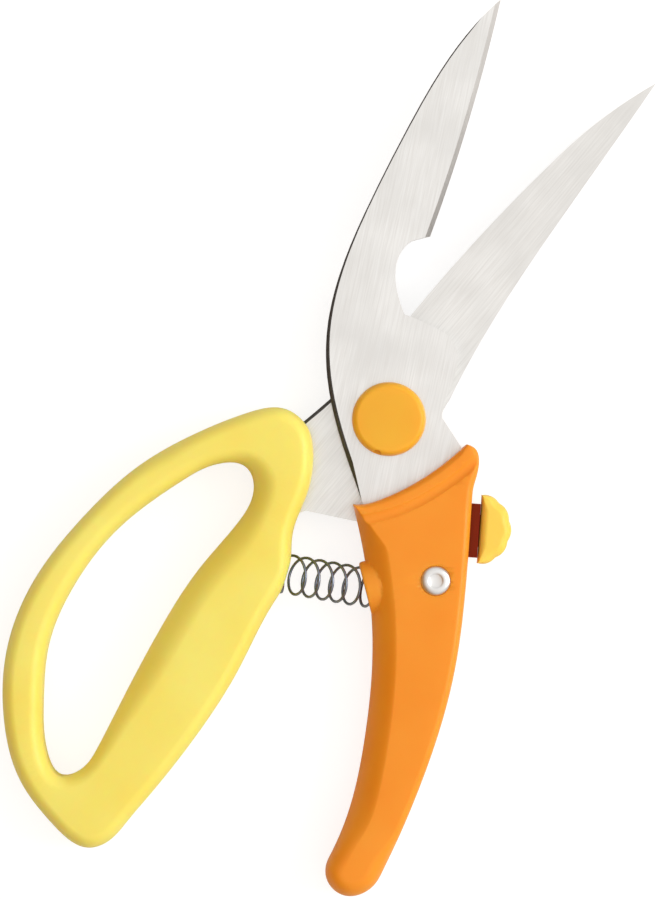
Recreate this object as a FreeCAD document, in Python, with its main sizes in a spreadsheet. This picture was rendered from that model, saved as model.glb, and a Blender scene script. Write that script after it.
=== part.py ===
import FreeCAD, Part
import math
import os
from collections import namedtuple

import Sketcher
from FreeCAD import Placement, Rotation, Vector

# Spring-loaded poultry shears, lying open on their back. The origin is on the pivot axis, in
# the plane that the shears rest on. +Y runs along the straight grip's half to the blade tips,
# +X is to the right seen from the front, and +Z points to the front. All sizes are in mm.

SIZES = [
    ("grip_height", 19.0, "both grips, back to front"),
    ("parting", 9.5, "height of the plane between the blades and between the grip shells"),
    ("blade_thickness", 3.0, "each blade"),
    ("blade_gap", 0.3, "slip washer between the blades"),
    ("bevel_depth", 2.7, "ground bevel along each cutting edge, through the thickness"),
    ("bolt_shoulder", 7.0, "shoulder that the blades turn on, diameter"),
    ("pivot_bore", 7.1, "bore in both blades"),
    ("bolt_head", 14.0, "low bolt head, diameter"),
    ("bolt_head_height", 2.0, "low bolt head"),
    ("bolt_thread", 6.0, "threaded end of the bolt, diameter"),
    ("bolt_end", 1.4, "height of the bolt's back end"),
    ("nut_width", 10.0, "nut across its flats"),
    ("nut_height", 4.0, "nut"),
    ("disc_outside", 11.4, "disc spring under the nut, diameter"),
    ("disc_height", 0.5, "disc spring, loaded"),
    ("washer_outside", 16.0, "slip washer, diameter"),
    ("cap_diameter", 20.4, "both pivot caps"),
    ("cap_height", 3.75, "front cap, above the front blade"),
    ("cap_rounding", 1.3, "rounded rim of the caps"),
    ("cap_wall", 1.0, "flat face of the back cap"),
    ("cap_clearance", 0.3, "between the back cap and the rear blade"),
    ("front_cap_bore", 14.1, "inside the front cap, round the bolt head"),
    ("back_cap_bore", 11.7, "inside the back cap, round the nut"),
    ("pry_notch", 1.5, "notch in the front cap's rim, diameter"),
    ("grip_rounding", 1.5, "rounded edges of the straight grip"),
    ("loop_rounding", 3.5, "rounded edges of the loop grip"),
    ("swing_radius", 35.0, "pocket that the rear blade's heel swings in, about the pivot"),
    ("swing_clearance", 0.3, "above and below the heel"),
    ("tang_clearance", 0.1, "in front of the front blade's tang"),
    ("screw_thread", 3.0, "grip screws, diameter"),
    ("screw_hole", 3.4, "clearance hole for a grip screw"),
    ("screw_head", 5.6, "grip screw head, diameter"),
    ("screw_recess", 6.2, "recess for a screw head"),
    ("screw_seat", 3.0, "height that the screw heads bear on"),
    ("screw_head_height", 2.0, "grip screw head"),
    ("screw_tip", 16.0, "height that the grip screws reach"),
    ("rivet_shank", 4.0, "lock rivet, diameter"),
    ("rivet_head", 8.1, "front head of the lock rivet, diameter"),
    ("rivet_recess", 8.3, "recess for the rivet's head and for its washer"),
    ("rivet_sink", 0.6, "depth of the front recess"),
    ("rivet_proud", 0.9, "how far the domed head stands above the grip"),
    ("rivet_seat", 2.0, "height that the rivet's washer bears on"),
    ("rivet_washer_height", 1.1, "washer at the back of the rivet"),
    ("rivet_tail", 5.6, "peened tail of the rivet, diameter"),
    ("lock_turn", 6.0, "the lock slides this many degrees off +Y, towards -X"),
    ("lock_travel", 4.5, "slide of the lock, from open to locked"),
    ("closing_angle", 24.0, "swing of the rear half, from open to closed, in degrees"),
    ("plate_bottom", 6.65, "back face of the lock plate"),
    ("plate_thickness", 2.55, "lock plate"),
    ("plate_slot", 4.2, "slot in the lock plate, round the rivet"),
    ("carrier_bottom", 5.3, "back face of the lock carrier"),
    ("carrier_height", 8.4, "lock carrier, back to front"),
    ("carrier_clearance", 0.3, "round the lock carrier in the grip shells"),
    ("pin_diameter", 1.6, "pins that hold the plate in the carrier"),
    ("pad_bottom", 4.0, "back face of the thumb pad"),
    ("pad_height", 11.0, "thumb pad, back to front"),
    ("spring_outside", 11.5, "return spring, coil diameter"),
    ("spring_wire", 0.95, "return spring wire"),
    ("seat_bore", 13.4, "spring sockets in both grips"),
    ("boss_diameter", 15.6, "moulded boss round the straight grip's spring socket"),
]

RIVET = Vector(20.3, -41.5, 0)          # the lock rivet, and the origin of the lock's own axes
SCREWS = [(17.5, -72.0), (14.5, -112.0)]
HEEL_HOLES = [(-27.6, -33.5), (-35.2, -57.0)]
LOOP_SEAT = Vector(-20.4, -46.9, 0)     # mouth of the spring socket in the loop grip
GRIP_SEAT = Vector(1.8, -47.5, 0)       # mouth of the spring socket in the straight grip
GRIP_SEAT_HEADING = 24.0                # its direction into the grip, in degrees from +X
LOOP_SEAT_DEPTH = 4.0
GRIP_SEAT_DEPTH = 5.0
BOSS_LENGTH = 10.5

FRONT_TIP = (10.3, 119.3)
REAR_TIP = (56.6, 104.2)

Round = namedtuple("Round", "x y diameter")  # a circle; its diameter is an expression

doc = FreeCAD.newDocument("poultry_shears")


def rebuild():
    """Recompute the document, and stop at the first object that failed."""
    doc.recompute()
    for item in doc.Objects:
        if "Invalid" in item.State or "Error" in item.State:
            raise ValueError(f"{item.Name} failed: {item.State}")


def make_sheet():
    """Put the driving sizes in the spreadsheet, one row each: name, value and what it is."""
    sheet = doc.addObject("Spreadsheet::Sheet", "Sizes")
    for row, (alias, value, note) in enumerate(SIZES, start=1):
        sheet.set(f"A{row}", alias)
        sheet.set(f"B{row}", str(value))
        sheet.set(f"C{row}", note)
        sheet.setAlias(f"B{row}", alias)
    rebuild()
    return sheet


sheet = make_sheet()


def size(alias):
    return float(sheet.get(alias))


REAR_BASE = "Sizes.parting - Sizes.blade_gap / 2 - Sizes.blade_thickness"
REAR_TOP = "Sizes.parting - Sizes.blade_gap / 2"
FRONT_BASE = "Sizes.parting + Sizes.blade_gap / 2"
FRONT_TOP = "Sizes.parting + Sizes.blade_gap / 2 + Sizes.blade_thickness"
SWING_BASE = f"{REAR_BASE} - Sizes.swing_clearance"


def lock_point(across, along):
    """A point given in the lock's own axes, as the grip sees it."""
    return RIVET + Rotation(Vector(0, 0, 1), size("lock_turn")).multVec(Vector(across, along, 0))


def lock_corner(across, along):
    point = lock_point(across, along)
    return (point.x, point.y)


def heel_corner(across, along):
    """A point that the closed rear blade has in the lock's axes, as it lies when open."""
    back = Rotation(Vector(0, 0, 1), -size("closing_angle"))
    point = back.multVec(lock_point(across, along))
    return (point.x, point.y)


def box_path(left, right, low, high):
    return [[(right, low)], [(right, high)], [(left, high)], [(left, low)]]


def draw(sketch, outline):
    """Draw one closed outline: a circle, or runs that each start where the last one ended.

    A run of one point is a line, of two points an arc through the first, and of more points a
    smooth curve. A single run of many points is one smooth closed curve.
    """
    if isinstance(outline, Round):
        circle = Part.Circle(Vector(outline.x, outline.y, 0), Vector(0, 0, 1), 1.0)
        index = sketch.addGeometry(circle, False)
        number = sketch.addConstraint(Sketcher.Constraint("Diameter", index, 2.0))
        sketch.setExpression(f"Constraints[{number}]", outline.diameter)
        return
    if len(outline) == 1:
        curve = Part.BSplineCurve()
        curve.interpolate(Points=[Vector(x, y, 0) for x, y in outline[0]], PeriodicFlag=True)
        sketch.addGeometry(curve, False)
        return
    start = outline[-1][-1]
    for run in outline:
        points = [Vector(x, y, 0) for x, y in [start, *run]]
        start = run[-1]
        if len(points) == 2:
            sketch.addGeometry(Part.LineSegment(*points), False)
        elif len(points) == 3:
            sketch.addGeometry(Part.Arc(*points), False)
        else:
            curve = Part.BSplineCurve()
            curve.interpolate(points)
            sketch.addGeometry(curve, False)


def new_body(name):
    body = doc.addObject("PartDesign::Body", name)
    body.Label = name
    return body


def new_sketch(body, name, role, offset):
    """A sketch on one of the body's own planes, moved along its normal by an expression."""
    sketch = body.newObject("Sketcher::SketchObject", name)
    plane = next(plane for plane in body.Origin.OriginFeatures if plane.Role == role)
    sketch.AttachmentSupport = (plane, [""])
    sketch.MapMode = "FlatFace"
    sketch.setExpression("AttachmentOffset.Base.z", offset)
    return sketch


def layer(body, kind, name, base, height, *outlines):
    """Pad or pocket flat outlines from a base height upwards, and check that it did so."""
    before = body.Shape.Volume if kind == "Pocket" else 0.0
    sketch = new_sketch(body, f"{body.Name}_{name}_outline", "XY_Plane", base)
    for outline in outlines:
        draw(sketch, outline)
    feature = body.newObject(f"PartDesign::{kind}", f"{body.Name}_{name}")
    feature.Profile = sketch
    feature.Reversed = kind == "Pocket"
    feature.setExpression("Length", height)
    rebuild()
    if kind == "Pocket" and body.Shape.Volume > before - 1e-3:
        raise ValueError(f"{feature.Name} cuts nothing")
    return feature


def turned(body, kind, name, outline):
    """Revolve or groove a profile, drawn as radius and height, about the body's own Z axis."""
    sketch = new_sketch(body, f"{body.Name}_{name}_profile", "XZ_Plane", "0")
    draw(sketch, outline)
    feature = body.newObject(f"PartDesign::{kind}", f"{body.Name}_{name}")
    feature.Profile = sketch
    feature.ReferenceAxis = (sketch, ["V_Axis"])
    feature.Angle = 360
    rebuild()
    return feature


def edges_where(feature, test):
    """Names of the feature's edges whose bounding box passes a test."""
    edges = enumerate(feature.Shape.Edges, start=1)
    return [f"Edge{number}" for number, edge in edges if test(edge.BoundBox)]


def at_height(height):
    return lambda box: abs(box.ZMin - height) < 1e-4 and abs(box.ZMax - height) < 1e-4


def rounding(body, feature, name, test, radius):
    fillet = body.newObject("PartDesign::Fillet", f"{body.Name}_{name}")
    fillet.Base = (feature, edges_where(feature, test))
    fillet.setExpression("Radius", radius)
    rebuild()
    return fillet


def bevel(body, face_height, depth_height, edge, inwards, past_tip, past_root):
    """Grind the bevel off one face along a cutting edge: a loft from the edge moved inwards, in
    the face, to the edge itself, lower down. It runs past both ends, and its outer side lies
    clear of the blade."""
    def strip(name, height, steps):
        def moved(point, share):
            return (point[0] + share * inwards[0], point[1] + share * inwards[1])

        sketch = new_sketch(body, f"{body.Name}_bevel_{name}", "XY_Plane", height)
        inner = [[moved(point, steps) for point in run] for run in edge]
        draw(sketch, [*inner, [moved(past_root, steps)], [moved(past_root, -3)],
                      [moved(past_tip, -3)], [moved(past_tip, steps)]])
        return sketch

    before = body.Shape.Volume
    loft = body.newObject("PartDesign::SubtractiveLoft", f"{body.Name}_bevel")
    loft.Profile = strip("face", face_height, 1.0)
    loft.Sections = [strip("land", depth_height, -0.1)]
    loft.Ruled = True
    rebuild()
    if not 50 < before - body.Shape.Volume < 600:
        raise ValueError(f"{loft.Name} grinds off {before - body.Shape.Volume:.1f} mm3")


def tang_runs(gap):
    """The front blade's tang inside the straight grip, from its right shoulder to its left
    one, wider all round by a gap. Its right side leaves room for the lock carrier."""
    return [
        [(20.6 + gap, -12.4)],
        [lock_corner(0.7, 27.5)],
        [lock_corner(0.7, 6.5)],
        [(24.6 + gap, -37.5 + gap)],
        [(24.6 + gap, -58.0)],
        [(20.0 + gap, -88.0)],
        [(16.7, -91.4 - gap), (13.4 - gap, -88.0)],
        [(10.8 - gap, -58.0)],
        [(10.3 - gap, -38.5 - gap)],
        [(0.5 - gap, -31.0 - gap)],
    ]


def make_front_blade():
    """The blade of the straight grip: bone notch, pivot root and long tang."""
    body = new_body("front_blade")
    edge = [[(7.5, 85.3), (2.5, 51.6)]]
    outline = [
        *edge,
        [(-2.3, 49.4)],
        [(-5.2, 44.0), (-4.7, 37.5), (-0.8, 29.2)],
        [(5.5, 27.8), (11.2, 26.0)],
        [(15.2, 21.0), (15.4, 12.5), (14.0, 6.0), (14.3, 3.0)],
        [(21.2, -4.4)],
        *tang_runs(0.0),
        [(-3.5, -23.3)],
        [(-10.8, -10.3), (-17.5, 4.5), (-20.9, 19.5), (-20.5, 35.5), (-15.4, 58.5),
         (-8.1, 82.2), (0.3, 103.5), FRONT_TIP],
    ]
    layer(body, "Pad", "blank", FRONT_BASE, "Sizes.blade_thickness", outline)
    bevel(body, FRONT_TOP, f"{FRONT_TOP} - Sizes.bevel_depth", [[FRONT_TIP], *edge],
          (-1.25, 0.12), (10.7, 125.3), (1.7, 47.6))
    holes = [Round(0, 0, "Sizes.pivot_bore"), Round(RIVET.x, RIVET.y, "Sizes.rivet_shank")]
    holes.append(Round(*SCREWS[0], "Sizes.screw_hole"))
    layer(body, "Pocket", "holes", FRONT_BASE, "Sizes.blade_thickness", *holes)
    return body


def make_rear_blade():
    """The blade of the loop grip: its heel carries the lock's tooth and the moulded tang."""
    body = new_body("rear_blade")
    edge = [[(43.5, 91.8), (31.2, 76.4)], [(14.7, 52.1), (0.8, 28.9)]]
    outline = [
        *edge,
        [(-8.0, 14.8), (-23.2, -4.9)],
        [(-27.4, -12.5), (-29.0, -24.0), (-32.0, -38.0), (-42.0, -66.0)],
        [(-40.5, -70.5), (-36.0, -69.0)],
        [(-30.5, -56.0), (-27.2, -46.0), (-25.8, -38.0), (-18.1, -28.9)],
        [heel_corner(-10.3, 14.3)],
        [heel_corner(-10.3, 17.8)],
        [heel_corner(-6.7, 17.8)],
        [heel_corner(-6.7, 14.9)],
        [heel_corner(-4.6, 15.7), heel_corner(-2.6, 16.3)],
        [(9.5, -22.0), (12.2, -12.0), (13.0, -3.0), (15.6, 8.1)],
        [(22.6, 29.0), (34.0, 55.8), (47.8, 85.2), REAR_TIP],
    ]
    layer(body, "Pad", "blank", REAR_BASE, "Sizes.blade_thickness", outline)
    bevel(body, REAR_BASE, f"{REAR_BASE} + Sizes.bevel_depth", [[REAR_TIP], *edge],
          (1.7, -1.25), (60.5, 107.4), (-0.7, 26.3))
    holes = [Round(0, 0, "Sizes.pivot_bore")]
    holes += [Round(x, y, "Sizes.rivet_shank") for x, y in HEEL_HOLES]
    layer(body, "Pocket", "holes", REAR_BASE, "Sizes.blade_thickness", *holes)
    return body


def make_pivot():
    """The bolt that both blades turn on, its nut, disc spring and slip washer, and two caps."""
    bolt = new_body("pivot_bolt")
    layer(bolt, "Pad", "thread", "Sizes.bolt_end", f"{REAR_BASE} - Sizes.bolt_end",
          Round(0, 0, "Sizes.bolt_thread"))
    layer(bolt, "Pad", "shoulder", REAR_BASE, f"{FRONT_TOP} - ({REAR_BASE})",
          Round(0, 0, "Sizes.bolt_shoulder"))
    layer(bolt, "Pad", "head", FRONT_TOP, "Sizes.bolt_head_height",
          Round(0, 0, "Sizes.bolt_head"))
    layer(bolt, "Pocket", "driver_slot", f"{FRONT_TOP} + Sizes.bolt_head_height / 2",
          "Sizes.bolt_head_height", box_path(-8.0, 8.0, -0.8, 0.8))

    nut = new_body("pivot_nut")
    nut_base = f"{REAR_BASE} - Sizes.disc_height - Sizes.nut_height"
    corner = size("nut_width") / math.sqrt(3)
    hexagon = [[(corner * math.cos(math.radians(60 * turn)),
                 corner * math.sin(math.radians(60 * turn)))] for turn in range(6)]
    layer(nut, "Pad", "hexagon", nut_base, "Sizes.nut_height", hexagon,
          Round(0, 0, "Sizes.bolt_thread"))

    disc = new_body("pivot_disc_spring")
    disc_top = size("parting") - size("blade_gap") / 2 - size("blade_thickness")
    disc_low = disc_top - size("disc_height")
    disc_sheet = 0.3
    inner = size("bolt_thread") / 2 + 0.15
    outer = size("disc_outside") / 2
    turned(disc, "Revolution", "cone", [
        [(outer, disc_low)],
        [(outer, disc_low + disc_sheet)],
        [(inner, disc_top)],
        [(inner, disc_top - disc_sheet)],
    ])

    washer = new_body("blade_slip_washer")
    layer(washer, "Pad", "ring", REAR_TOP, "Sizes.blade_gap",
          Round(0, 0, "Sizes.washer_outside"), Round(0, 0, "Sizes.pivot_bore"))

    front = new_body("front_pivot_cap")
    disk = layer(front, "Pad", "disk", FRONT_TOP, "Sizes.cap_height",
                 Round(0, 0, "Sizes.cap_diameter"))
    cap_top = disk.Shape.BoundBox.ZMax
    rounding(front, disk, "rim", at_height(cap_top), "Sizes.cap_rounding")
    layer(front, "Pocket", "bore", FRONT_TOP, "Sizes.bolt_head_height + 0.2",
          Round(0, 0, "Sizes.front_cap_bore"))
    edge = size("cap_diameter") / 2
    notch_turn = math.radians(-99.5)
    layer(front, "Pocket", "pry_notch", FRONT_TOP, "Sizes.cap_height",
          Round(edge * math.cos(notch_turn), edge * math.sin(notch_turn), "Sizes.pry_notch"))

    back = new_body("back_pivot_cap")
    disk = layer(back, "Pad", "disk", "0", f"{REAR_BASE} - Sizes.cap_clearance",
                 Round(0, 0, "Sizes.cap_diameter"))
    rounding(back, disk, "rim", at_height(0.0), "Sizes.cap_rounding")
    layer(back, "Pocket", "bore", "Sizes.cap_wall", REAR_BASE,
          Round(0, 0, "Sizes.back_cap_bore"))
    return [bolt, nut, disc, washer, front, back]


STRAIGHT_GRIP = [
    [(-1.7, -35.0), (2.9, -48.5), (6.6, -65.0), (8.4, -86.0), (7.6, -108.3), (4.0, -123.5)],
    [(5.9, -129.4), (10.7, -131.7), (15.9, -130.0), (19.6, -124.9)],
    [(23.4, -110.5), (27.6, -90.0), (30.0, -67.0), (29.4, -46.0), (28.0, -31.0), (26.2, -14.5)],
    [(26.8, -8.0), (25.0, -3.4), (22.3, -2.9)],
    [(20.5, -4.9)],
    [(11.2, -14.9), (-1.9, -23.9)],
    [(-6.0, -24.7)],
]


def seat_corner(along, across):
    """A point in the parting plane, given in the axes of the straight grip's spring socket."""
    heading = Rotation(Vector(0, 0, 1), GRIP_SEAT_HEADING)
    point = GRIP_SEAT + heading.multVec(Vector(along, across, 0))
    return (point.x, point.y)


def boss_runs():
    """Half the profile of the boss: a round bar from the socket's mouth, with a domed end."""
    radius = size("boss_diameter") / 2
    middle = radius * math.sqrt(0.5)
    straight = BOSS_LENGTH - radius
    return [
        [seat_corner(BOSS_LENGTH, 0)],
        [seat_corner(straight + middle, middle), seat_corner(straight, radius)],
        [seat_corner(0, radius)],
        [seat_corner(0, 0)],
    ]


def bore_runs():
    """Half the profile of the socket's bore, which runs out past its mouth."""
    radius = size("seat_bore") / 2
    corners = [(GRIP_SEAT_DEPTH, 0), (GRIP_SEAT_DEPTH, radius), (-6.0, radius), (-6.0, 0)]
    return [[seat_corner(*corner)] for corner in corners]


def socket_turn(body, kind, name, outline, angle):
    """Revolve or groove a profile drawn in the parting plane, about the spring socket's axis."""
    sketch = new_sketch(body, f"{body.Name}_{name}_profile", "XY_Plane", "Sizes.parting")
    draw(sketch, outline)
    heading = Rotation(Vector(0, 0, 1), GRIP_SEAT_HEADING).multVec(Vector(10, 0, 0))
    sketch.addGeometry(Part.LineSegment(GRIP_SEAT, GRIP_SEAT + heading), True)
    feature = body.newObject(f"PartDesign::{kind}", f"{body.Name}_{name}")
    feature.Profile = sketch
    feature.ReferenceAxis = (sketch, ["Axis0"])
    feature.Angle = angle
    return feature


def make_grip_shell(name, base, front):
    """One shell of the straight grip, with its half of the spring socket's boss."""
    body = new_body(name)
    half = "Sizes.grip_height - Sizes.parting" if front else "Sizes.parting"
    blank = layer(body, "Pad", "blank", base, half, STRAIGHT_GRIP)
    outer_face = size("grip_height") if front else 0.0
    rounding(body, blank, "edges", at_height(outer_face), "Sizes.grip_rounding")
    boss = socket_turn(body, "Revolution", "spring_boss", boss_runs(), 180)
    boss.Reversed = not front
    rebuild()
    if body.Shape.BoundBox.ZLength > size("parting") + 0.01:
        raise ValueError(f"the spring boss of {name} is on the wrong side")
    socket_turn(body, "Groove", "spring_socket", bore_runs(), 360)
    rebuild()
    return body


def lock_slot():
    """The opening that the lock carrier slides in, out through the grip's right side."""
    gap = size("carrier_clearance")
    low = 7.0 - gap
    high = 21.8 + size("lock_travel") + gap
    corners = [(0.7, low), (14.0, low), (14.0, high), (0.7, high)]
    return [[lock_corner(*corner)] for corner in corners]


def make_straight_grip():
    """The two riveted shells round the front blade's tang, and the two screws at the back."""
    front = make_grip_shell("straight_grip_front_shell", "Sizes.parting", True)
    rear = make_grip_shell("straight_grip_rear_shell", "0", False)
    slot_base = "Sizes.carrier_bottom - Sizes.carrier_clearance"
    slot_top = "Sizes.carrier_bottom + Sizes.carrier_height + Sizes.carrier_clearance"

    gap = size("tang_clearance")
    tang = [*tang_runs(gap), [(-8.0, -20.0)], [(-8.0, 2.0)], [(24.0, 2.0)]]
    tang.append([(20.9 + gap, -5.0)])
    layer(front, "Pocket", "tang", "Sizes.parting",
          f"{FRONT_TOP} - Sizes.parting + Sizes.tang_clearance", tang)
    layer(front, "Pocket", "swing", "Sizes.parting", "Sizes.blade_gap / 2",
          Round(0, 0, "Sizes.swing_radius * 2"))
    layer(front, "Pocket", "lock_slot", "Sizes.parting", f"{slot_top} - Sizes.parting",
          lock_slot())
    layer(front, "Pocket", "screw_holes", "Sizes.parting", "Sizes.screw_tip - Sizes.parting",
          *[Round(x, y, "Sizes.screw_thread") for x, y in SCREWS])
    layer(front, "Pocket", "rivet_hole", "Sizes.parting", "Sizes.grip_height",
          Round(RIVET.x, RIVET.y, "Sizes.rivet_shank"))
    layer(front, "Pocket", "rivet_recess", "Sizes.grip_height - Sizes.rivet_sink",
          "Sizes.grip_height", Round(RIVET.x, RIVET.y, "Sizes.rivet_recess"))

    layer(rear, "Pocket", "swing", SWING_BASE, "Sizes.parting",
          Round(0, 0, "Sizes.swing_radius * 2"))
    layer(rear, "Pocket", "plate_pocket", REAR_BASE, "Sizes.parting",
          [[lock_corner(*corner)]
           for corner in [(-11.4, -9.4), (6.4, -9.4), (6.4, 18.0), (-11.4, 18.0)]])
    layer(rear, "Pocket", "lock_slot", slot_base, "Sizes.parting", lock_slot())
    layer(rear, "Pocket", "screw_holes", "0", "Sizes.parting",
          *[Round(x, y, "Sizes.screw_hole") for x, y in SCREWS])
    layer(rear, "Pocket", "screw_recesses", "0", "Sizes.screw_seat",
          *[Round(x, y, "Sizes.screw_recess") for x, y in SCREWS])
    layer(rear, "Pocket", "rivet_hole", "0", "Sizes.parting",
          Round(RIVET.x, RIVET.y, "Sizes.rivet_shank"))
    layer(rear, "Pocket", "rivet_recess", "0", "Sizes.rivet_seat",
          Round(RIVET.x, RIVET.y, "Sizes.rivet_recess"))

    screws = []
    for number, (x, y) in enumerate(SCREWS, start=1):
        screw = new_body(f"grip_screw_{number}")
        layer(screw, "Pad", "thread", "Sizes.screw_seat", "Sizes.screw_tip - Sizes.screw_seat",
              Round(x, y, "Sizes.screw_thread"))
        layer(screw, "Pad", "head", "Sizes.screw_seat - Sizes.screw_head_height",
              "Sizes.screw_head_height", Round(x, y, "Sizes.screw_head"))
        for turn in (0, 90):
            arm = Rotation(Vector(0, 0, 1), turn)
            corners = [(-1.5, -0.35), (1.5, -0.35), (1.5, 0.35), (-1.5, 0.35)]
            moved = [arm.multVec(Vector(*corner, 0)) + Vector(x, y, 0) for corner in corners]
            layer(screw, "Pocket", f"driver_slot_{turn}", "0",
                  "Sizes.screw_seat - Sizes.screw_head_height / 2",
                  [[(corner.x, corner.y)] for corner in moved])
        screws.append(screw)
    group = doc.addObject("Part::Compound", "grip_screws")
    group.Links = screws
    return [front, rear, group]


def make_loop_grip(rear_blade):
    """The closed loop moulded round the rear blade's tang, with its spring socket."""
    outer = [[
        (-24.6, -3.2), (-30.6, -1.7), (-37.7, -4.2), (-50.9, -12.2), (-65.1, -23.7),
        (-78.7, -41.3), (-88.9, -60.8), (-92.9, -82.0), (-90.6, -98.7), (-83.6, -114.8),
        (-71.9, -126.1), (-60.5, -130.9), (-55.6, -128.1), (-51.4, -121.6), (-46.9, -113.9),
        (-37.0, -95.5), (-28.5, -75.2), (-22.5, -56.2), (-19.3, -46.0), (-20.4, -36.0),
        (-18.4, -25.0), (-18.7, -12.0), (-21.0, -6.2),
    ]]
    finger_hole = [[
        (-40.8, -19.5), (-35.6, -20.6), (-33.5, -25.7), (-36.2, -35.0), (-44.5, -49.3),
        (-52.1, -67.1), (-58.6, -86.7), (-63.6, -103.0), (-67.5, -110.3), (-72.3, -112.4),
        (-75.9, -108.5), (-80.1, -93.3), (-81.4, -78.0), (-77.6, -61.1), (-68.0, -42.8),
        (-52.2, -26.1),
    ]]
    body = new_body("loop_grip_moulding")
    blank = layer(body, "Pad", "blank", "0", "Sizes.grip_height", outer, finger_hole)
    height = size("grip_height")
    rounding(body, blank, "edges",
             lambda box: at_height(0.0)(box) or at_height(height)(box), "Sizes.loop_rounding")
    sketch = new_sketch(body, "loop_seat_profile", "XY_Plane", "Sizes.parting")
    radius = size("seat_bore") / 2
    deep = LOOP_SEAT.x - LOOP_SEAT_DEPTH
    draw(sketch, box_path(deep, deep + 12.0, LOOP_SEAT.y, LOOP_SEAT.y + radius))
    axis = [LOOP_SEAT, LOOP_SEAT + Vector(10, 0, 0)]
    sketch.addGeometry(Part.LineSegment(*axis), True)
    socket = body.newObject("PartDesign::Groove", "loop_seat_socket")
    socket.Profile = sketch
    socket.ReferenceAxis = (sketch, ["Axis0"])
    socket.Angle = 360
    rebuild()
    grip = doc.addObject("Part::Cut", "loop_grip")
    grip.Base = body
    grip.Tool = rear_blade
    return grip


def place_lock_piece(body):
    """Put a piece drawn in the lock's own axes into the straight grip."""
    body.Placement.Base = RIVET
    body.setExpression("Placement.Rotation.Angle", "Sizes.lock_turn")
    body.Placement.Rotation.Axis = Vector(0, 0, 1)


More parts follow.
